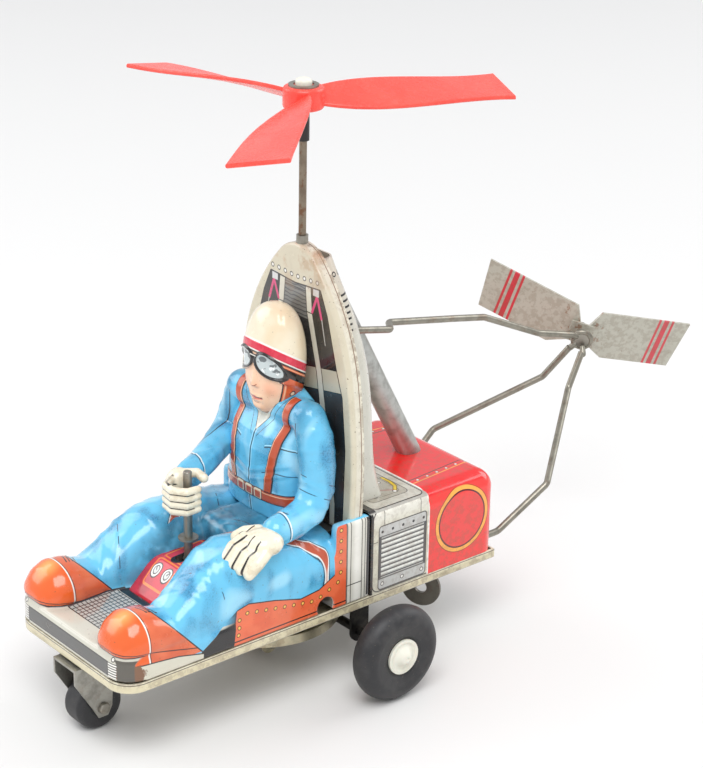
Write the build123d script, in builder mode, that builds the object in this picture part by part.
"""Clockwork tin toy autogyro: one seated pilot, a three-blade rotor on a mast, a tail
propeller on bent wire booms, three road wheels and a winding motor in the tin body.

Millimetres, +Z up. The nose points to -Y and the pilot's left hand is at +X. The origin is
the point on the ground straight below the rotor mast.
"""

from build123d import *
import math
import os

os.makedirs("parts", exist_ok=True)

# ---------------------------------------------------------------- driving dimensions
TIN = 0.6                   # thickness of the pressed tinplate
FIT = 0.05                  # radial clearance of a running shaft

HALF_WIDTH = 30.0           # body, from the middle to either side
NOSE_Y = -90.0              # front of the body
TAIL_Y = 60.0               # back of the body
BASE_Z = 24.8               # underside of the base tray
LIP_Z = 28.4                # top of the tray's rim
FLOOR_Z = 35.0              # top of the cockpit floor
DECK_Z = 57.8               # top of the engine covers
NOSE_RADIUS = 8.0
TAIL_RADIUS = 5.0
SEAT_Y = -52.0              # front of the seat's side panels
PILLAR_Y = 5.0              # back of the seat's side panels
SEAM_Y = 29.4               # joint between the front and the back engine cover

REAR_AXLE_Y = 2.5
REAR_WHEEL_R = 16.0
REAR_WHEEL_WIDTH = 9.4
REAR_WHEEL_X = 45.7         # middle of either rear tyre
REAR_AXLE_R = 1.5

FRONT_WHEEL_Y = -81.6
FRONT_WHEEL_R = 8.1
FRONT_WHEEL_WIDTH = 9.4
KING_PIN_Y = -85.5
FORK_X = 6.0                # outer face of either fork leg

MAST_R = 1.2
MAST_TOP_Z = 191.6
ROTOR_Z = 187.0             # middle of the rotor hub
ROTOR_R = 66.0
ROTOR_FIRST_BLADE = 70.5    # degrees from +X, towards +Y

PYLON_Y = -2.6              # front face of the seat back
PYLON_DEPTH = 4.8
PYLON_FOOT_Z = 52.0
PYLON_TOP_Z = 141.0

WIRE_R = 1.15
TUBE_R = 4.0

MODULE = 0.8                # of every spur gear
GREAT_TEETH = 40
IDLER_PINION_TEETH = 8
IDLER_WHEEL_TEETH = 36
MAST_PINION_TEETH = 12
TURRET_GEAR_TEETH = 28

LOWER_PLATE_Z = 27.4        # underside of the lower motor plate
UPPER_PLATE_Z = 50.4        # underside of the upper motor plate
PLATE = 0.8                 # thickness of the motor plates

KEY_Y = 38.0
TURRET_Y = -MODULE * (MAST_PINION_TEETH + TURRET_GEAR_TEETH) / 2
TURRET_R = 26.0
DRIVE_WHEEL_R = 7.0
DRIVE_WHEEL_X = -16.8

TAIL_HUB = Vector(0, 128.0, 80.8)
TAIL_YAW = 45.0
TAIL_TILT = 9.5
TAIL_TURN = 17.6
TAIL_CONE = 20.4
TAIL_BLADE_LENGTH = 39.7
TAIL_BLADE_CHORD = 18.7

TOP_WIRE = ((6.5, 13.4, 110.6), (6.5, 31.5, 106.7), (0.3, 36.2, 106.2), (0, 66.7, 100.5),
            (0, 79.5, 98.0), (0, 106.0, 86.0), (1.6, 121.4, 82.2))
SIDE_WIRE = ((26.0, 54.0, 31.8), (26.0, 65.0, 31.8), (29.0, 84.5, 45.0), (6.5, 116.0, 65.0))
LEFT_WIRE_END = (5.6, 122.6, 76.6)
RIGHT_WIRE_END = (0.6, 121.6, 77.2)

STICK_Y = -44.6
STICK_PIVOT_Z = 45.0
STICK_TOP_Z = 75.7
STICK_R = 1.4
CONSOLE_TOP_Z = 52.0


# ---------------------------------------------------------------- shared shapes
def side_view(x):
    """Plane standing along the body at x, with its own x along +Y and its y along +Z."""
    return Plane(origin=(x, 0, 0), x_dir=(0, 1, 0), z_dir=(1, 0, 0))


def front_view(y):
    """Plane standing across the body at y, with its own x along +X and its y along +Z."""
    return Plane(origin=(0, y, 0), x_dir=(1, 0, 0), z_dir=(0, -1, 0))


def body_plan(inset):
    """Plan of the body: round nose corners and smaller tail corners."""
    half = HALF_WIDTH - inset
    nose = NOSE_Y + inset
    tail = TAIL_Y - inset
    with BuildSketch(mode=Mode.PRIVATE) as plan:
        with Locations((0, (nose + tail) / 2)):
            Rectangle(2 * half, tail - nose)
        corners = plan.vertices().group_by(Axis.Y)
        fillet(corners[0], NOSE_RADIUS - inset)
        fillet(corners[-1], TAIL_RADIUS - inset)
    return plan.sketch


def limb(start, end, start_r, end_r):
    """A round limb: a cone with a ball at both ends, added to the open part."""
    run = Vector(*end) - Vector(*start)
    slope = (start_r - end_r) / run.length
    lean = math.sqrt(1 - slope * slope)
    near = Vector(*start) + run.normalized() * (start_r * slope)
    far = Vector(*end) + run.normalized() * (end_r * slope)
    height = (far - near).length
    middle = (near + far) * 0.5
    with Locations(Plane(origin=middle, z_dir=run)):
        if abs(slope) > 1e-6:
            Cone(start_r * lean, end_r * lean, height)
        else:
            Cylinder(start_r, height)
    with Locations(start):
        Sphere(start_r)
    with Locations(end):
        Sphere(end_r)


def gear_outline(teeth, phase):
    """Corners of a spur gear with slim straight-sided teeth; one tooth stands at phase."""
    pitch_r = MODULE * teeth / 2
    root_r = pitch_r - 1.15 * MODULE
    tip_r = pitch_r + 0.75 * MODULE
    step = 360 / teeth
    corners = []
    for tooth in range(teeth):
        middle = phase + tooth * step
        for radius, share in ((root_r, -0.27), (tip_r, -0.1), (tip_r, 0.1), (root_r, 0.27)):
            angle = math.radians(middle + share * step)
            corners.append((radius * math.cos(angle), radius * math.sin(angle)))
    return corners


def spur_gear(centre, teeth, phase, z, height, bore):
    """A spur gear lying flat, from z upwards."""
    with BuildPart() as gear:
        with BuildSketch(Plane.XY.offset(z)):
            with BuildLine():
                Polyline(*[(centre[0] + x, centre[1] + y) for x, y in gear_outline(teeth, phase)],
                         close=True)
            make_face()
            with Locations(centre):
                Circle(bore, mode=Mode.SUBTRACT)
        extrude(amount=height)
    return gear


def meshing_phase(phase, teeth, next_teeth, direction):
    """Phase of the next gear so that it meshes; direction runs from centre to centre."""
    return direction + 180 + 180 / next_teeth - (phase - direction) * teeth / next_teeth


def heading(start, end):
    """Direction in degrees from one (x, y) centre to another."""
    return math.degrees(math.atan2(end[1] - start[1], end[0] - start[0]))


def bent_wire(points, bend):
    """Round wire along straight runs joined by arcs of radius bend."""
    with BuildPart() as wire:
        with BuildLine() as path:
            FilletPolyline(*points, radius=bend)
        with BuildSketch(Plane(origin=path.line @ 0, z_dir=path.line % 0)):
            Circle(WIRE_R)
        sweep()
    return wire


# ---------------------------------------------------------------- gear centres
MAST_XY = (0.0, 0.0)
KEY_XY = (0.0, KEY_Y)
TURRET_XY = (0.0, TURRET_Y)
great_to_idler = MODULE * (GREAT_TEETH + IDLER_PINION_TEETH) / 2
idler_to_mast = MODULE * (IDLER_WHEEL_TEETH + MAST_PINION_TEETH) / 2
idler_y = (KEY_Y ** 2 + idler_to_mast ** 2 - great_to_idler ** 2) / (2 * KEY_Y)
IDLER_XY = (math.sqrt(idler_to_mast ** 2 - idler_y ** 2), idler_y)

great_phase = heading(KEY_XY, IDLER_XY)
idler_pinion_phase = meshing_phase(great_phase, GREAT_TEETH, IDLER_PINION_TEETH, great_phase)
idler_wheel_phase = heading(IDLER_XY, MAST_XY)
mast_phase = meshing_phase(idler_wheel_phase, IDLER_WHEEL_TEETH, MAST_PINION_TEETH,
                           idler_wheel_phase)
turret_phase = meshing_phase(mast_phase, MAST_PINION_TEETH, TURRET_GEAR_TEETH,
                             heading(MAST_XY, TURRET_XY))

# ================================================================ body
KING_PIN_R = 1.6
ARBOR_R = 2.0
TURRET_COLLAR_R = 4.0
TURRET_SHAFT_R = 1.2

with BuildPart() as base_tray:
    with BuildSketch(Plane.XY.offset(BASE_Z)):
        add(body_plan(0))
    extrude(amount=LIP_Z - BASE_Z)
    fillet(base_tray.faces().sort_by(Axis.Z)[0].edges(), 1.0)
    with BuildSketch(Plane.XY.offset(BASE_Z + TIN)):
        add(body_plan(TIN))
    extrude(amount=LIP_Z, mode=Mode.SUBTRACT)
    for centre, radius in ((TURRET_XY, TURRET_COLLAR_R + FIT), (KEY_XY, ARBOR_R + 1.0),
                           ((0, KING_PIN_Y), KING_PIN_R + FIT)):
        with Locations((*centre, BASE_Z)):
            Cylinder(radius, 6, mode=Mode.SUBTRACT)
base_tray.part.label = "base_tray"
export_step(base_tray.part, "parts/base_tray.step")

# Cockpit floor, nose and the flat side panels of the seat, pressed from one sheet.
PANEL_FOOT = LIP_Z + 0.1
PANEL_TOP_Z = 57.6
with BuildPart() as body_pressing:
    with BuildSketch(Plane.XY.offset(PANEL_FOOT)):
        add(body_plan(0))
        with Locations((0, (SEAT_Y + TAIL_Y) / 2)):
            Rectangle(2 * HALF_WIDTH, TAIL_Y - SEAT_Y, mode=Mode.SUBTRACT)
    extrude(amount=FLOOR_Z - PANEL_FOOT)
    fillet(body_pressing.faces().sort_by(Axis.Z)[-1].edges().filter_by_position(
        Axis.Y, NOSE_Y - 1, SEAT_Y - 0.5, inclusive=(True, True)), 1.6)
    with BuildSketch(Plane.XY.offset(PANEL_FOOT)):
        add(body_plan(TIN))
        with Locations((0, (SEAT_Y + TAIL_Y) / 2 + TIN)):
            Rectangle(2 * HALF_WIDTH, TAIL_Y - SEAT_Y, mode=Mode.SUBTRACT)
    extrude(amount=FLOOR_Z - PANEL_FOOT - TIN, mode=Mode.SUBTRACT)
    for side in (-HALF_WIDTH, HALF_WIDTH - TIN):
        with BuildSketch(side_view(side)):
            with BuildLine():
                Polyline((PILLAR_Y, PANEL_FOOT), (SEAT_Y, PANEL_FOOT), (SEAT_Y, FLOOR_Z + 1.5))
                Spline((SEAT_Y, FLOOR_Z + 1.5), (-44, 45), (-26, 49), (-12, PANEL_TOP_Z))
                Polyline((-12, PANEL_TOP_Z), (PILLAR_Y, PANEL_TOP_Z), (PILLAR_Y, PANEL_FOOT))
            make_face()
            with Locations((-13.2, LIP_Z + 2.2)):
                Circle(3.5, mode=Mode.SUBTRACT)
        extrude(amount=TIN)
body_pressing.part.label = "body_pressing"
export_step(body_pressing.part, "parts/body_pressing.step")

# An upturned channel, open to the seat in front and to the back cover behind.
with BuildPart() as front_cover:
    with BuildSketch(front_view(PILLAR_Y + 0.1)):
        with BuildLine():
            FilletPolyline((-HALF_WIDTH, PANEL_FOOT), (-HALF_WIDTH, DECK_Z), (HALF_WIDTH, DECK_Z),
                           (HALF_WIDTH, PANEL_FOOT), radius=2.0)
            Line((HALF_WIDTH, PANEL_FOOT), (-HALF_WIDTH, PANEL_FOOT))
        make_face()
        with BuildLine():
            inner = HALF_WIDTH - TIN
            FilletPolyline((-inner, PANEL_FOOT), (-inner, DECK_Z - TIN), (inner, DECK_Z - TIN),
                           (inner, PANEL_FOOT), radius=1.4)
            Line((inner, PANEL_FOOT), (-inner, PANEL_FOOT))
        make_face(mode=Mode.SUBTRACT)
    extrude(amount=-(SEAM_Y - PILLAR_Y - 0.2))
front_cover.part.label = "front_cover"
export_step(front_cover.part, "parts/front_cover.step")

COVER_EDGE_R = 6.0
with BuildPart() as rear_cover:
    with BuildSketch(Plane.XY.offset(PANEL_FOOT)):
        with Locations((0, (SEAM_Y + TAIL_Y) / 2)):
            Rectangle(2 * HALF_WIDTH, TAIL_Y - SEAM_Y)
    extrude(amount=DECK_Z - PANEL_FOOT)
    fillet(rear_cover.edges().filter_by(Axis.Z).group_by(Axis.Y)[-1], TAIL_RADIUS)
    fillet(rear_cover.faces().sort_by(Axis.Z)[-1].edges().filter_by_position(
        Axis.Y, SEAM_Y + 0.5, TAIL_Y + 1), COVER_EDGE_R)
    offset(amount=-TIN, openings=[rear_cover.faces().sort_by(Axis.Z)[0],
                                  rear_cover.faces().sort_by(Axis.Y)[0]])
    for side in (-1, 1):
        with Locations(Location((side * SIDE_WIRE[0][0], TAIL_Y, SIDE_WIRE[0][2]), (90, 0, 0))):
            Cylinder(WIRE_R + FIT, 12, mode=Mode.SUBTRACT)
rear_cover.part.label = "rear_cover"
export_step(rear_cover.part, "parts/rear_cover.step")

# Black half-round brackets under the tray carry the rear axle.
BRACKET_X = 28.4
with BuildPart() as axle_brackets:
    for side in (-BRACKET_X, BRACKET_X - 1.0):
        with BuildSketch(side_view(side)):
            with Locations((REAR_AXLE_Y, REAR_WHEEL_R)):
                Circle(3.6)
            with Locations((REAR_AXLE_Y, (REAR_WHEEL_R + BASE_Z) / 2)):
                Rectangle(7.2, BASE_Z - REAR_WHEEL_R)
            with Locations((REAR_AXLE_Y, REAR_WHEEL_R)):
                Circle(REAR_AXLE_R + FIT, mode=Mode.SUBTRACT)
        extrude(amount=1.0)
axle_brackets.part.label = "axle_brackets"
export_step(axle_brackets.part, "parts/axle_brackets.step")


# ================================================================ seat back
ARCH_FOOT = (28.2, PYLON_FOOT_Z)
ARCH_BELLY = (29.1, 78)
ARCH_SHOULDER = (26.9, 101)
ARCH_CROWN = (8.2, PYLON_TOP_Z - 3.4)


def arch_outline(y, inset):
    """Sketch of the seat back's arch, standing at y and drawn in by inset."""
    with BuildSketch(front_view(y), mode=Mode.PRIVATE) as arch:
        with BuildLine():
            side = ThreePointArc(ARCH_FOOT, ARCH_BELLY, ARCH_SHOULDER)
            shoulder = TangentArc(ARCH_SHOULDER, ARCH_CROWN, tangent=side % 1)
            TangentArc(ARCH_CROWN, (-ARCH_CROWN[0], ARCH_CROWN[1]), tangent=shoulder % 1)
            mirror(shoulder, about=Plane.YZ)
            mirror(side, about=Plane.YZ)
            Line((-ARCH_FOOT[0], PYLON_FOOT_Z), ARCH_FOOT)
        make_face()
        if inset:
            offset(amount=-inset)
    return arch.sketch


BUSHING_R = 1.9
with BuildPart() as pylon_front:
    extrude(arch_outline(PYLON_Y, 0), amount=-PYLON_DEPTH)
    fillet(pylon_front.faces().sort_by(Axis.Y)[0].edges().filter_by_position(
        Axis.Z, PYLON_FOOT_Z + 2, PYLON_TOP_Z + 1), 1.2)
    extrude(arch_outline(PYLON_Y + TIN, TIN), amount=-PYLON_DEPTH, mode=Mode.SUBTRACT)
    for z in (PYLON_FOOT_Z, PYLON_TOP_Z):
        with Locations((0, 0, z)):
            Cylinder(BUSHING_R, 12, mode=Mode.SUBTRACT)
pylon_front.part.label = "pylon_front"
export_step(pylon_front.part, "parts/pylon_front.step")

# Back pressing: a flat arch that fits inside the front one, with a hollow spine.
# Each section of the spine gives: height, half width and how far back it reaches.
SPINE = ((DECK_Z + 0.1, 22.0, 17.8), (95, 18.4, 15.0), (112, 16.4, 12.4), (126, 13.2, 8.8),
         (137.4, 8.4, 6.8))
SPINE_CORNER_R = 3.6
BACK_PLATE_Y = PYLON_Y + PYLON_DEPTH - TIN


def spine(inset):
    """The spine's closed shape: stacked rounded sections, smaller towards the top."""
    front_y = BACK_PLATE_Y - 4
    with BuildPart(mode=Mode.PRIVATE) as block:
        for z, half_width, back_y in SPINE:
            with BuildSketch(Plane.XY.offset(z)):
                with Locations((0, (front_y + back_y - inset) / 2)):
                    RectangleRounded(2 * (half_width - inset), back_y - inset - front_y,
                                     SPINE_CORNER_R - inset)
        loft()
    return block.part


with BuildPart() as pylon_rear:
    extrude(arch_outline(BACK_PLATE_Y, TIN + 0.05), amount=-TIN)
    split(bisect_by=Plane.XY.offset(DECK_Z + 0.1), keep=Keep.TOP)
    add(spine(0))
    split(bisect_by=Plane(origin=(0, BACK_PLATE_Y, 0), z_dir=(0, 1, 0)), keep=Keep.TOP)
    add(spine(TIN), mode=Mode.SUBTRACT)
    with Locations((0, 0, PYLON_TOP_Z)):
        Cylinder(BUSHING_R, 12, mode=Mode.SUBTRACT)
pylon_rear.part.label = "pylon_rear"
export_step(pylon_rear.part, "parts/pylon_rear.step")

with BuildPart() as mast_bushing:
    with Locations((0, 0, PYLON_TOP_Z - 1.5)):
        Cylinder(BUSHING_R - 0.02, 8)
        Cylinder(MAST_R + FIT, 8, mode=Mode.SUBTRACT)
mast_bushing.part.label = "mast_bushing"
export_step(mast_bushing.part, "parts/mast_bushing.step")

# Rolled tube bracing the seat back against the deck, cut off at both ends where it lands.
TUBE_FOOT = Vector(0, 46.6, DECK_Z)
TUBE_HEAD = Vector(0, 7.6, 129.6)
with BuildPart() as strut_tube:
    with BuildSketch(Plane(origin=TUBE_FOOT, z_dir=TUBE_HEAD - TUBE_FOOT)):
        Circle(TUBE_R)
        Circle(TUBE_R - TIN, mode=Mode.SUBTRACT)
    extrude(amount=(TUBE_HEAD - TUBE_FOOT).length, both=True)
    split(bisect_by=Plane.XY.offset(DECK_Z + 0.02), keep=Keep.TOP)
    add(spine(-0.05), mode=Mode.SUBTRACT)
strut_tube.part.label = "strut_tube"
export_step(strut_tube.part, "parts/strut_tube.step")

# ================================================================ tail booms
top_boom_wire = bent_wire(TOP_WIRE, 2.6)
top_boom_wire.part.label = "top_boom_wire"
export_step(top_boom_wire.part, "parts/top_boom_wire.step")

for name, side, end in (("left_boom_wire", 1, LEFT_WIRE_END),
                        ("right_boom_wire", -1, RIGHT_WIRE_END)):
    boom_wire = bent_wire([(side * x, y, z) for x, y, z in SIDE_WIRE] + [end], 3.0)
    boom_wire.part.label = name
    export_step(boom_wire.part, f"parts/{name}.step")

# The tail pin runs along the propeller's axis and holds the three wire ends.
tail_frame = Location(TAIL_HUB, (0, 0, TAIL_YAW)) * Location((0, 0, 0), (TAIL_TILT, 0, 0))
tail_axis = Plane(tail_frame).y_dir
TAIL_PIN_R = 0.9
TAIL_PIN_FRONT = 5.2
TAIL_PIN_BACK = 4.6
with BuildPart() as tail_pin:
    with Locations(Plane(origin=TAIL_HUB - tail_axis * TAIL_PIN_FRONT, z_dir=tail_axis)):
        Cylinder(TAIL_PIN_R, TAIL_PIN_FRONT + TAIL_PIN_BACK,
                 align=(Align.CENTER, Align.CENTER, Align.MIN))
        Cylinder(2.6, 1.6, align=(Align.CENTER, Align.CENTER, Align.MIN))
    with Locations(Plane(origin=TAIL_HUB + tail_axis * TAIL_PIN_BACK, z_dir=tail_axis)):
        Cylinder(1.6, 0.6, align=(Align.CENTER, Align.CENTER, Align.MIN))
tail_pin.part.label = "tail_pin"
export_step(tail_pin.part, "parts/tail_pin.step")

# Two flat tin blades leaning back from a small folded hub.
blade_root = tail_frame * Location((0, 0, 0), (0, TAIL_TURN, 0))
HUB_HALF_X = 5.0
HUB_HALF_Z = 4.0
with BuildPart() as tail_propeller:
    with Locations(blade_root):
        Box(2 * HUB_HALF_X, 0.8, 2 * HUB_HALF_Z)
        with Locations((0, 1.2, 0)):
            Box(5.6, 2.4, 5.6)
    for side in (1, -1):
        lean = blade_root * Location((0, 0, 0), (0, 0, side * TAIL_CONE))
        with BuildSketch(Plane(lean * Location((0, 0.4, 0), (90, 0, 0)))):
            with BuildLine():
                Polyline((side * 2.0, -3.6), (side * 11.0, -TAIL_BLADE_CHORD / 2),
                         (side * (TAIL_BLADE_LENGTH - 1.0), -TAIL_BLADE_CHORD / 2),
                         (side * (TAIL_BLADE_LENGTH + 1.0), TAIL_BLADE_CHORD / 2),
                         (side * 5.0, TAIL_BLADE_CHORD / 2), (side * 2.0, 3.6), close=True)
            make_face()
        extrude(amount=0.4, both=True)
    with Locations(Plane(origin=TAIL_HUB, z_dir=tail_axis)):
        Cylinder(TAIL_PIN_R + FIT, 20, mode=Mode.SUBTRACT)
tail_propeller.part.label = "tail_propeller"
export_step(tail_propeller.part, "parts/tail_propeller.step")

# ================================================================ rotor
with BuildPart() as mast:
    with Locations((0, 0, LOWER_PLATE_Z - 0.6)):
        Cylinder(MAST_R, MAST_TOP_Z - LOWER_PLATE_Z + 0.6,
                 align=(Align.CENTER, Align.CENTER, Align.MIN))
mast.part.label = "mast"
export_step(mast.part, "parts/mast.step")

MAST_PINION_Z = 46.0
MAST_PINION_HEIGHT = 3.4
mast_pinion = spur_gear(MAST_XY, MAST_PINION_TEETH, mast_phase, MAST_PINION_Z, MAST_PINION_HEIGHT,
                        MAST_R)
mast_pinion.part.label = "mast_pinion"
export_step(mast_pinion.part, "parts/mast_pinion.step")

# Black sleeve under the rotor, pushed on to the mast.
SLEEVE_Z = (173.6, 183.4)
SLEEVE_R = 1.9
with BuildPart() as mast_sleeve:
    with Locations((0, 0, SLEEVE_Z[0])):
        Cylinder(SLEEVE_R, SLEEVE_Z[1] - SLEEVE_Z[0], align=(Align.CENTER, Align.CENTER, Align.MIN))
        Cylinder(MAST_R, SLEEVE_Z[1] - SLEEVE_Z[0], align=(Align.CENTER, Align.CENTER, Align.MIN),
                 mode=Mode.SUBTRACT)
mast_sleeve.part.label = "mast_sleeve"
export_step(mast_sleeve.part, "parts/mast_sleeve.step")

# Moulded rotor. Each section gives: distance out, chord, pitch in degrees, sweep and droop.
HUB_R = 6.4
HUB_HEIGHT = 7.0
BLADE_SECTIONS = ((4.0, 7.0, 34, 0.0, 0.0), (15.0, 13.0, 26, -0.6, 0.2), (38.0, 17.0, 15, -0.8, 0.8),
                  (ROTOR_R, 18.6, 9, 0.0, 1.6))
BLADE_THICKNESS = 1.3


def rotor_blade(angle):
    """One blade: steep at the hub, nearly flat at the tip, its counter-clockwise edge higher."""
    arm = Location((0, 0, ROTOR_Z), (0, 0, angle))
    with BuildPart(mode=Mode.PRIVATE) as blade:
        for out, chord, pitch, sweep_y, droop in BLADE_SECTIONS:
            across_arm = arm * Location((out, sweep_y, -droop), (0, 90, 0))
            with BuildSketch(Plane(across_arm * Location((0, 0, 0), (0, 0, 90 + pitch)))):
                RectangleRounded(chord, BLADE_THICKNESS, BLADE_THICKNESS * 0.45)
        loft()
    return blade.part


blades = [rotor_blade(ROTOR_FIRST_BLADE + 120 * turn) for turn in range(3)]
with BuildPart() as rotor:
    with Locations((0, 0, ROTOR_Z)):
        Cylinder(HUB_R, HUB_HEIGHT)
    fillet(rotor.edges().filter_by(GeomType.CIRCLE), 1.2)
    for blade in blades:
        add(blade)
    with Locations((0, 0, ROTOR_Z)):
        Cylinder(MAST_R, 30, mode=Mode.SUBTRACT)
rotor.part.label = "rotor"
export_step(rotor.part, "parts/rotor.step")

HUB_TOP_Z = ROTOR_Z + HUB_HEIGHT / 2
with BuildPart() as rotor_eyelet:
    with BuildSketch(Plane.XZ):
        with Locations((3.95, HUB_TOP_Z + 0.3)):
            Rectangle(1.5, 0.6)
    revolve(axis=Axis.Z)
rotor_eyelet.part.label = "rotor_eyelet"
export_step(rotor_eyelet.part, "parts/rotor_eyelet.step")

CAP_R = 2.6
CAP_TOP_Z = 192.9
with BuildPart() as rotor_cap:
    with Locations((0, 0, HUB_TOP_Z)):
        Cylinder(CAP_R, CAP_TOP_Z - HUB_TOP_Z, align=(Align.CENTER, Align.CENTER, Align.MIN))
    fillet(rotor_cap.edges().filter_by(GeomType.CIRCLE).sort_by(Axis.Z)[-1], 1.2)
    with Locations((0, 0, HUB_TOP_Z)):
        Cylinder(MAST_R, MAST_TOP_Z - HUB_TOP_Z, align=(Align.CENTER, Align.CENTER, Align.MIN),
                 mode=Mode.SUBTRACT)
rotor_cap.part.label = "rotor_cap"
export_step(rotor_cap.part, "parts/rotor_cap.step")

# ================================================================ rear wheels
with BuildPart() as rear_axle:
    with Locations(Location((0, REAR_AXLE_Y, REAR_WHEEL_R), (0, 90, 0))):
        Cylinder(REAR_AXLE_R, 2 * (REAR_WHEEL_X + 3.0))
rear_axle.part.label = "rear_axle"
export_step(rear_axle.part, "parts/rear_axle.step")

HUB_WELL_R = 6.1
for name, side in (("left", 1), ("right", -1)):
    half = REAR_WHEEL_WIDTH / 2
    wheel_view = Plane(origin=(side * REAR_WHEEL_X, REAR_AXLE_Y, REAR_WHEEL_R),
                       x_dir=(side, 0, 0), z_dir=(0, -side, 0))
    with BuildPart() as tyre:
        with BuildSketch(wheel_view):
            with BuildLine():
                Polyline((-half, REAR_AXLE_R), (half - 1.2, REAR_AXLE_R), (half - 1.2, HUB_WELL_R),
                         (half - 0.5, HUB_WELL_R + 1.2), (half, 10.5))
                Spline((half, 10.5), (half - 0.9, 14.2), (0, REAR_WHEEL_R), (0.9 - half, 14.2),
                       (-half, 10.5))
                Line((-half, 10.5), (-half, REAR_AXLE_R))
            make_face()
        revolve(axis=Axis(wheel_view.origin, (1, 0, 0)))
    tyre.part.label = f"{name}_tyre"
    export_step(tyre.part, f"parts/{name}_tyre.step")
    with BuildPart() as hub_cap:
        with BuildSketch(wheel_view):
            with BuildLine():
                Polyline((half - 1.1, 0), (half - 1.1, 5.9), (half - 0.3, 5.9), (half - 0.2, 5.0))
                Spline((half - 0.2, 5.0), (half - 0.5, 4.3), (half + 0.9, 2.4), (half + 1.4, 0))
                Line((half + 1.4, 0), (half - 1.1, 0))
            make_face()
        revolve(axis=Axis(wheel_view.origin, (1, 0, 0)))
        with Locations(Location((0, REAR_AXLE_Y, REAR_WHEEL_R), (0, 90, 0))):
            Cylinder(REAR_AXLE_R, 2 * (REAR_WHEEL_X + 3.0), mode=Mode.SUBTRACT)
    hub_cap.part.label = f"{name}_hub_cap"
    export_step(hub_cap.part, f"parts/{name}_hub_cap.step")

# ================================================================ nose caster
FORK_TOP_Z = BASE_Z - 0.5
FORK_LEG = 0.8
with BuildPart() as caster_fork:
    with Locations((0, KING_PIN_Y + 1.0, FORK_TOP_Z - FORK_LEG / 2)):
        Box(2 * FORK_X, 14.0, FORK_LEG)
    for side in (-FORK_X, FORK_X - FORK_LEG):
        with BuildSketch(side_view(side)):
            with BuildLine():
                Polyline((KING_PIN_Y - 6.0, FORK_TOP_Z), (KING_PIN_Y + 8.0, FORK_TOP_Z),
                         (FRONT_WHEEL_Y + 3.2, 8.0), (FRONT_WHEEL_Y + 1.6, 5.0),
                         (FRONT_WHEEL_Y - 1.8, 5.0), (FRONT_WHEEL_Y - 3.6, 8.4),
                         (KING_PIN_Y - 6.0, 19.0), close=True)
            make_face()
            with Locations((FRONT_WHEEL_Y, FRONT_WHEEL_R)):
                Circle(1.2 + FIT, mode=Mode.SUBTRACT)
        extrude(amount=FORK_LEG)
    with Locations((0, KING_PIN_Y, FORK_TOP_Z)):
        Cylinder(KING_PIN_R, 6, mode=Mode.SUBTRACT)
caster_fork.part.label = "caster_fork"
export_step(caster_fork.part, "parts/caster_fork.step")

with BuildPart() as king_pin:
    with Locations((0, KING_PIN_Y, FORK_TOP_Z - FORK_LEG)):
        Cylinder(KING_PIN_R, 3.2, align=(Align.CENTER, Align.CENTER, Align.MIN))
    with Locations((0, KING_PIN_Y, BASE_Z + TIN + 0.3)):
        Cylinder(3.2, 0.6, align=(Align.CENTER, Align.CENTER, Align.MIN))
    with Locations((0, KING_PIN_Y, FORK_TOP_Z - FORK_LEG)):
        Cylinder(2.6, 0.6, align=(Align.CENTER, Align.CENTER, Align.MAX))
king_pin.part.label = "king_pin"
export_step(king_pin.part, "parts/king_pin.step")

with BuildPart() as front_wheel:
    with Locations(Location((0, FRONT_WHEEL_Y, FRONT_WHEEL_R), (0, 90, 0))):
        Cylinder(FRONT_WHEEL_R, FRONT_WHEEL_WIDTH)
    fillet(front_wheel.edges().filter_by(GeomType.CIRCLE), 2.0)
    with Locations(Location((0, FRONT_WHEEL_Y, FRONT_WHEEL_R), (0, 90, 0))):
        Cylinder(1.2, FRONT_WHEEL_WIDTH, mode=Mode.SUBTRACT)
front_wheel.part.label = "front_wheel"
export_step(front_wheel.part, "parts/front_wheel.step")

with BuildPart() as front_axle:
    with Locations(Location((0, FRONT_WHEEL_Y, FRONT_WHEEL_R), (0, 90, 0))):
        Cylinder(1.2, 2 * FORK_X + 1.0)
    for side in (-1, 1):
        with Locations(Location((side * (FORK_X + 0.7), FRONT_WHEEL_Y, FRONT_WHEEL_R), (0, 90, 0))):
            Cylinder(1.9, 1.2)
    fillet(front_axle.edges().filter_by(GeomType.CIRCLE).group_by(Axis.X)[0], 0.5)
    fillet(front_axle.edges().filter_by(GeomType.CIRCLE).group_by(Axis.X)[-1], 0.5)
front_axle.part.label = "front_axle"
export_step(front_axle.part, "parts/front_axle.step")

# ================================================================ clockwork motor
PLATE_FRONT_Y = -30.0
PLATE_BACK_Y = 57.0
PLATE_HALF_X = 21.0
PILLAR_R = 1.8
PILLAR_XY = [(x, y) for x in (-17.5, 17.5) for y in (-26.5, 53.5)]
SHAFT_R = 1.0

for name, z, arbor_hole in (("lower_motor_plate", LOWER_PLATE_Z, ARBOR_R + FIT),
                            ("upper_motor_plate", UPPER_PLATE_Z, SHAFT_R + FIT)):
    with BuildPart() as motor_plate:
        with BuildSketch(Plane.XY.offset(z)):
            with Locations((0, (PLATE_FRONT_Y + PLATE_BACK_Y) / 2)):
                RectangleRounded(2 * PLATE_HALF_X, PLATE_BACK_Y - PLATE_FRONT_Y, 4)
            for centre, radius in ((MAST_XY, MAST_R + FIT), (IDLER_XY, SHAFT_R + FIT),
                                   (KEY_XY, arbor_hole), (TURRET_XY, TURRET_SHAFT_R + FIT)):
                with Locations(centre):
                    Circle(radius, mode=Mode.SUBTRACT)
        extrude(amount=PLATE)
    motor_plate.part.label = name
    export_step(motor_plate.part, f"parts/{name}.step")

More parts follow.
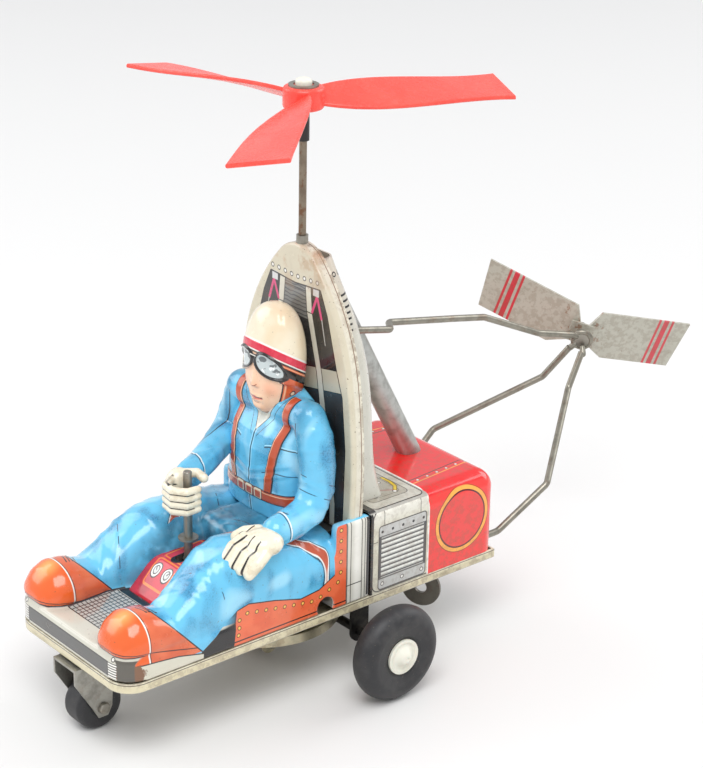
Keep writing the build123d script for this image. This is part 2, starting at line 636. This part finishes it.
with BuildPart() as motor_pillars:
    with BuildSketch(Plane.XY.offset(LOWER_PLATE_Z + PLATE)):
        with Locations(*PILLAR_XY):
            Circle(PILLAR_R)
    extrude(amount=UPPER_PLATE_Z - LOWER_PLATE_Z - PLATE)
motor_pillars.part.label = "motor_pillars"
export_step(motor_pillars.part, "parts/motor_pillars.step")

# Spacers lift the lower plate off the tray.
with BuildPart() as motor_feet:
    with BuildSketch(Plane.XY.offset(BASE_Z + TIN)):
        with Locations(*PILLAR_XY):
            Circle(PILLAR_R + 0.8)
    extrude(amount=LOWER_PLATE_Z - BASE_Z - TIN)
motor_feet.part.label = "motor_feet"
export_step(motor_feet.part, "parts/motor_feet.step")

GREAT_Z = 29.4
GEAR_THICKNESS = 1.4
great_gear = spur_gear(KEY_XY, GREAT_TEETH, great_phase, GREAT_Z, GEAR_THICKNESS, ARBOR_R + FIT)
great_gear.part.label = "great_gear"
export_step(great_gear.part, "parts/great_gear.step")

idler_pinion = spur_gear(IDLER_XY, IDLER_PINION_TEETH, idler_pinion_phase, GREAT_Z - 0.4,
                         GEAR_THICKNESS + 0.8, SHAFT_R)
idler_pinion.part.label = "idler_pinion"
export_step(idler_pinion.part, "parts/idler_pinion.step")

idler_wheel = spur_gear(IDLER_XY, IDLER_WHEEL_TEETH, idler_wheel_phase, MAST_PINION_Z + 1.0,
                        GEAR_THICKNESS, SHAFT_R)
idler_wheel.part.label = "idler_wheel"
export_step(idler_wheel.part, "parts/idler_wheel.step")

with BuildPart() as idler_shaft:
    with Locations((*IDLER_XY, LOWER_PLATE_Z - 0.6)):
        Cylinder(SHAFT_R, UPPER_PLATE_Z - LOWER_PLATE_Z + PLATE + 1.2,
                 align=(Align.CENTER, Align.CENTER, Align.MIN))
idler_shaft.part.label = "idler_shaft"
export_step(idler_shaft.part, "parts/idler_shaft.step")

turret_gear = spur_gear(TURRET_XY, TURRET_GEAR_TEETH, turret_phase, MAST_PINION_Z + 1.0,
                        GEAR_THICKNESS, TURRET_SHAFT_R)
turret_gear.part.label = "turret_gear"
export_step(turret_gear.part, "parts/turret_gear.step")

# Mainspring: a flat spiral strip from the arbor out to the last turn.
SPRING_Z = 32.0
SPRING_HEIGHT = 12.0
SPRING_TURNS = 6
SPRING_IN_R = ARBOR_R + 0.4
SPRING_OUT_R = 15.2
SPRING_STRIP = 0.5
SPRING_STEPS = 20
with BuildPart() as mainspring:
    with BuildSketch(Plane.XY.offset(SPRING_Z)):
        with BuildLine():
            sides = []
            for edge in (0, SPRING_STRIP):
                line = []
                for step in range(SPRING_TURNS * SPRING_STEPS + 1):
                    share = step / (SPRING_TURNS * SPRING_STEPS)
                    radius = SPRING_IN_R + share * (SPRING_OUT_R - SPRING_IN_R) + edge
                    angle = 2 * math.pi * step / SPRING_STEPS
                    line.append((radius * math.cos(angle), KEY_Y + radius * math.sin(angle)))
                sides.append(line)
            Polyline(*sides[0], *reversed(sides[1]), close=True)
        make_face()
    extrude(amount=SPRING_HEIGHT)
mainspring.part.label = "mainspring"
export_step(mainspring.part, "parts/mainspring.step")

# ================================================================ key
KEY_SOCKET_Z = (15.0, 22.6)
KEY_SOCKET_R = 3.0
KEY_ANGLE = 28.0
KEY_LOBE = Vector(13.0, 0, 11.6)
KEY_LOBE_R = 7.0
with BuildPart() as key_arbor:
    with Locations((*KEY_XY, KEY_SOCKET_Z[0])):
        Cylinder(ARBOR_R, UPPER_PLATE_Z - 0.2 - KEY_SOCKET_Z[0],
                 align=(Align.CENTER, Align.CENTER, Align.MIN))
        Cylinder(SHAFT_R, UPPER_PLATE_Z + PLATE + 0.5 - KEY_SOCKET_Z[0],
                 align=(Align.CENTER, Align.CENTER, Align.MIN))
key_arbor.part.label = "key_arbor"
export_step(key_arbor.part, "parts/key_arbor.step")

key_place = Location((*KEY_XY, 0), (0, 0, KEY_ANGLE))
with BuildPart() as winding_key:
    with Locations((*KEY_XY, 0)):
        Cylinder(KEY_SOCKET_R, KEY_SOCKET_Z[1], align=(Align.CENTER, Align.CENTER, Align.MIN))
        Cylinder(KEY_SOCKET_R, KEY_LOBE.Z - 4, align=(Align.CENTER, Align.CENTER, Align.MIN),
                 mode=Mode.SUBTRACT)
    with BuildSketch(Plane(key_place * Location((0, 0, 0), (90, 0, 0)))):
        with Locations((-KEY_LOBE.X, KEY_LOBE.Z), (KEY_LOBE.X, KEY_LOBE.Z)):
            Circle(KEY_LOBE_R)
        with Locations((0, KEY_LOBE.Z)):
            Rectangle(2 * KEY_LOBE.X, 5.2)
        with Locations((-KEY_LOBE.X, KEY_LOBE.Z), (KEY_LOBE.X, KEY_LOBE.Z)):
            Circle(2.2, mode=Mode.SUBTRACT)
    extrude(amount=0.6, both=True)
    with Locations((*KEY_XY, KEY_SOCKET_Z[0])):
        Cylinder(ARBOR_R, 12, align=(Align.CENTER, Align.CENTER, Align.MIN), mode=Mode.SUBTRACT)
winding_key.part.label = "winding_key"
export_step(winding_key.part, "parts/winding_key.step")

# ================================================================ drive turret
TURRET_RIM_Z = (18.2, 21.4)
TURRET_DISC_Z = 19.6
COLLAR_TOP_Z = LOWER_PLATE_Z - 0.4
DRIVE_AXLE_R = 1.0
BRACKET_XS = (-12.6, 4.2)
BRACKET_HALF_WIDTH = 3.0
with BuildPart() as turret:
    with BuildSketch(front_view(TURRET_Y)):
        with BuildLine():
            Polyline((TURRET_SHAFT_R + FIT, TURRET_DISC_Z), (TURRET_R - TIN, TURRET_DISC_Z),
                     (TURRET_R - TIN, TURRET_RIM_Z[0]), (TURRET_R, TURRET_RIM_Z[0]),
                     (TURRET_R, TURRET_RIM_Z[1]), (TURRET_R - TIN, TURRET_RIM_Z[1]),
                     (TURRET_R - TIN, TURRET_DISC_Z + TIN), (6.0, TURRET_DISC_Z + TIN),
                     (6.0, BASE_Z - 0.2), (TURRET_COLLAR_R, BASE_Z - 0.2),
                     (TURRET_COLLAR_R, COLLAR_TOP_Z), (TURRET_SHAFT_R + FIT, COLLAR_TOP_Z),
                     close=True)
        make_face()
    revolve(axis=Axis((0, TURRET_Y, 0), (0, 0, 1)))
    for x in BRACKET_XS:
        with BuildSketch(side_view(x)):
            with Locations((TURRET_Y, (TURRET_DISC_Z + 0.2 + DRIVE_WHEEL_R) / 2)):
                Rectangle(2 * BRACKET_HALF_WIDTH, TURRET_DISC_Z + 0.2 - DRIVE_WHEEL_R)
            with Locations((TURRET_Y, DRIVE_WHEEL_R)):
                Circle(BRACKET_HALF_WIDTH)
                Circle(DRIVE_AXLE_R + FIT, mode=Mode.SUBTRACT)
        extrude(amount=0.8)
turret.part.label = "turret"
export_step(turret.part, "parts/turret.step")

with BuildPart() as turret_washer:
    with BuildSketch(Plane.XY.offset(BASE_Z + TIN + 0.3)):
        with Locations(TURRET_XY):
            Circle(6.4)
            Circle(TURRET_COLLAR_R, mode=Mode.SUBTRACT)
    extrude(amount=0.6)
turret_washer.part.label = "turret_washer"
export_step(turret_washer.part, "parts/turret_washer.step")

TURRET_PINION_Z = 11.0
with BuildPart() as turret_shaft:
    with Locations((*TURRET_XY, TURRET_PINION_Z)):
        Cylinder(TURRET_SHAFT_R, UPPER_PLATE_Z + PLATE + 0.5 - TURRET_PINION_Z,
                 align=(Align.CENTER, Align.CENTER, Align.MIN))
turret_shaft.part.label = "turret_shaft"
export_step(turret_shaft.part, "parts/turret_shaft.step")

turret_pinion = spur_gear(TURRET_XY, IDLER_PINION_TEETH, 0, TURRET_PINION_Z, 4.0, TURRET_SHAFT_R)
turret_pinion.part.label = "turret_pinion"
export_step(turret_pinion.part, "parts/turret_pinion.step")


def across(x, radius, length):
    """A round bar lying across the body on the drive axle's line, centred at x."""
    with Locations(Location((x, TURRET_Y, DRIVE_WHEEL_R), (0, 90, 0))):
        Cylinder(radius, length)


DRIVE_AXLE_X = (-20.4, 6.6)
with BuildPart() as drive_axle:
    across(sum(DRIVE_AXLE_X) / 2, DRIVE_AXLE_R, DRIVE_AXLE_X[1] - DRIVE_AXLE_X[0])
drive_axle.part.label = "drive_axle"
export_step(drive_axle.part, "parts/drive_axle.step")

# Crown wheel: its teeth point across the body and stand just clear of the turret pinion.
CROWN_TEETH = 14
CROWN_R = 5.6
CROWN_X = -5.6
with BuildPart() as crown_gear:
    across(CROWN_X, CROWN_R, 1.0)
    with Locations(Location((CROWN_X + 0.7, TURRET_Y, DRIVE_WHEEL_R), (0, 90, 0))):
        with PolarLocations(CROWN_R - 0.8, CROWN_TEETH):
            Box(1.4, 0.9, 0.8)
    with Locations(Location((CROWN_X, TURRET_Y, DRIVE_WHEEL_R), (0, 90, 0))):
        Cylinder(DRIVE_AXLE_R, 10, mode=Mode.SUBTRACT)
crown_gear.part.label = "crown_gear"
export_step(crown_gear.part, "parts/crown_gear.step")

with BuildPart() as drive_wheel:
    across(DRIVE_WHEEL_X, DRIVE_WHEEL_R, 4.4)
    fillet(drive_wheel.edges().filter_by(GeomType.CIRCLE), 0.6)
    with Locations(Location((DRIVE_WHEEL_X, TURRET_Y, DRIVE_WHEEL_R), (0, 90, 0))):
        Cylinder(DRIVE_AXLE_R, 10, mode=Mode.SUBTRACT)
drive_wheel.part.label = "drive_wheel"
export_step(drive_wheel.part, "parts/drive_wheel.step")

# ================================================================ pilot
TORSO = ((56.4, 17.5, -23.6), (66, 16.4, -24.2), (84, 15.2, -22.6), (97, 13.6, -18.6))
TORSO_BACK_Y = -3.2
HEAD = ((90.0, 7.0, 4.4), (97.0, 11.6, 7.4), (106.0, 14.0, 8.8), (114.0, 13.2, 8.6),
        (120.4, 8.6, 5.6), (122.8, 3.0, 2.0))
HEAD_Y = -12.0
PILOT_SEAM_Y = -11.0


def figure(inset):
    """The pilot's torso, neck and head as one closed shape."""
    with BuildPart(mode=Mode.PRIVATE) as torso:
        for z, half_width, front_y in TORSO:
            with BuildSketch(Plane.XY.offset(z - inset)):
                with Locations((0, (front_y + TORSO_BACK_Y) / 2)):
                    RectangleRounded(2 * (half_width - inset), TORSO_BACK_Y - front_y - 2 * inset,
                                     6.5 - inset)
        loft()
    with BuildPart(mode=Mode.PRIVATE) as head:
        for z, half_width, half_depth in HEAD:
            with BuildSketch(Plane.XY.offset(z)):
                with Locations((0, HEAD_Y)):
                    Ellipse(half_width - inset, half_depth - inset)
        loft()
    with BuildPart(mode=Mode.PRIVATE) as whole:
        add(torso.part)
        add(head.part)
    return whole.part


for name, kept in (("pilot_front", Keep.BOTTOM), ("pilot_back", Keep.TOP)):
    with BuildPart() as half_pilot:
        add(figure(0))
        add(figure(TIN), mode=Mode.SUBTRACT)
        split(bisect_by=Plane(origin=(0, PILOT_SEAM_Y, 0), z_dir=(0, 1, 0)), keep=kept)
    half_pilot.part.label = name
    export_step(half_pilot.part, f"parts/{name}.step")


def hollow_limbs(runs):
    """A tin limb: balls and cones along runs of (start, end, start_r, end_r)."""
    with BuildPart() as limbs:
        for wall in (0, TIN):
            with BuildPart(mode=Mode.PRIVATE) as layer:
                for start, end, start_r, end_r in runs:
                    limb(start, end, start_r - wall, end_r - wall)
            add(layer.part, mode=Mode.SUBTRACT if wall else Mode.ADD)
    return limbs


LEFT_ARM = (((22.2, -9.6, 90.4), (29.2, -14.0, 74.5), 6.0, 5.4),
            ((29.2, -14.0, 74.5), (26.8, -33.0, 62.4), 5.4, 4.2),
            ((26.8, -33.0, 62.4), (29.8, -42.4, 58.0), 4.2, 4.2))
left_arm = hollow_limbs(LEFT_ARM)
left_arm.part.label = "left_arm"
export_step(left_arm.part, "parts/left_arm.step")

GRIP_Z = 67.0
GRIP_R = 5.4
RIGHT_ARM = (((-22.2, -9.6, 90.4), (-26.6, -19.6, 71.2), 6.0, 5.4),
             ((-26.6, -19.6, 71.2), (-10.6, -38.0, 69.4), 5.4, 4.2),
             ((-10.6, -38.0, 69.4), (-1.6, STICK_Y, GRIP_Z), 4.2, GRIP_R))
right_arm = hollow_limbs(RIGHT_ARM)
with BuildPart() as gripping_arm:
    add(right_arm.part)
    with Locations((0, STICK_Y, GRIP_Z)):
        Cylinder(STICK_R + 1.0, 30, mode=Mode.SUBTRACT)
gripping_arm.part.label = "right_arm"
export_step(gripping_arm.part, "parts/right_arm.step")

# Legs, boots and lap are one pressing that sits between the seat's side panels.
LAP_TOP_Z = 56.2
LAP_FRONT_Y = -36.0
LAP_BACK_Y = -5.1
LEGS = []
for side in (-1, 1):
    LEGS.append(((side * 16.4, -17.6, 43.7), (side * 16.6, -46.0, 46.4), 11.8, 11.4))
    LEGS.append(((side * 16.6, -46.0, 46.4), (side * 20.0, -70.0, 39.0), 11.4, 8.6))
    LEGS.append(((side * 20.0, -70.0, 39.0), (side * 23.0, -79.2, 41.6), 8.6, 9.0))
with BuildPart() as pilot_legs:
    for wall in (0, TIN):
        with BuildPart(mode=Mode.PRIVATE) as lap:
            with Locations((0, LAP_FRONT_Y + wall, LAP_TOP_Z - wall)):
                Box(2 * (HALF_WIDTH - TIN - 0.1 - wall), LAP_BACK_Y - LAP_FRONT_Y,
                    LAP_TOP_Z - PANEL_FOOT, align=(Align.CENTER, Align.MIN, Align.MAX))
            fillet(lap.edges().filter_by(Axis.Y).group_by(Axis.Z)[-1], 5.0 - wall)
            for start, end, start_r, end_r in LEGS:
                limb(start, end, start_r - wall, end_r - wall)
        add(lap.part, mode=Mode.SUBTRACT if wall else Mode.ADD)
    split(bisect_by=Plane.XY.offset(FLOOR_Z + 0.1), keep=Keep.TOP)
pilot_legs.part.label = "pilot_legs"
export_step(pilot_legs.part, "parts/pilot_legs.step")

# ================================================================ console and stick
CONSOLE_BACK_Y = -37.0
CONSOLE_FRONT_Y = -60.0
CONSOLE_HALF_X = 4.6
with BuildPart() as console_cover:
    with BuildSketch(side_view(-CONSOLE_HALF_X)):
        with BuildLine():
            Polyline((CONSOLE_BACK_Y, FLOOR_Z + 0.1), (CONSOLE_FRONT_Y, FLOOR_Z + 0.1),
                     (CONSOLE_FRONT_Y, 43.0), (CONSOLE_FRONT_Y + 3.5, CONSOLE_TOP_Z),
                     (CONSOLE_BACK_Y, CONSOLE_TOP_Z), close=True)
        make_face()
    extrude(amount=2 * CONSOLE_HALF_X)
    offset(amount=-TIN, openings=console_cover.faces().sort_by(Axis.Z)[0])
    with Locations((0, STICK_Y, CONSOLE_TOP_Z)):
        Box(2 * STICK_R + 0.4, 6.4, 4, mode=Mode.SUBTRACT)
    with Locations(Location((0, STICK_Y, STICK_PIVOT_Z), (0, 90, 0))):
        Cylinder(0.8, 30, mode=Mode.SUBTRACT)
console_cover.part.label = "console_cover"
export_step(console_cover.part, "parts/console_cover.step")

with BuildPart() as stick_pivot_pin:
    with Locations(Location((0, STICK_Y, STICK_PIVOT_Z), (0, 90, 0))):
        Cylinder(0.8, 2 * CONSOLE_HALF_X + 0.4)
stick_pivot_pin.part.label = "stick_pivot_pin"
export_step(stick_pivot_pin.part, "parts/stick_pivot_pin.step")

with BuildPart() as control_stick:
    with Locations((0, STICK_Y, STICK_PIVOT_Z - 2.4)):
        Cylinder(STICK_R, STICK_TOP_Z - STICK_PIVOT_Z + 2.4,
                 align=(Align.CENTER, Align.CENTER, Align.MIN))
    fillet(control_stick.edges().filter_by(GeomType.CIRCLE).sort_by(Axis.Z)[-1], 0.5)
    with Locations(Location((0, STICK_Y, STICK_PIVOT_Z), (0, 90, 0))):
        Cylinder(0.8 + FIT, 10, mode=Mode.SUBTRACT)
control_stick.part.label = "control_stick"
export_step(control_stick.part, "parts/control_stick.step")

with BuildPart() as stick_washer:
    with BuildSketch(Plane.XY.offset(CONSOLE_TOP_Z + 0.6)):
        with Locations((0, STICK_Y)):
            Circle(3.2)
            Circle(STICK_R, mode=Mode.SUBTRACT)
    extrude(amount=0.6)
stick_washer.part.label = "stick_washer"
export_step(stick_washer.part, "parts/stick_washer.step")
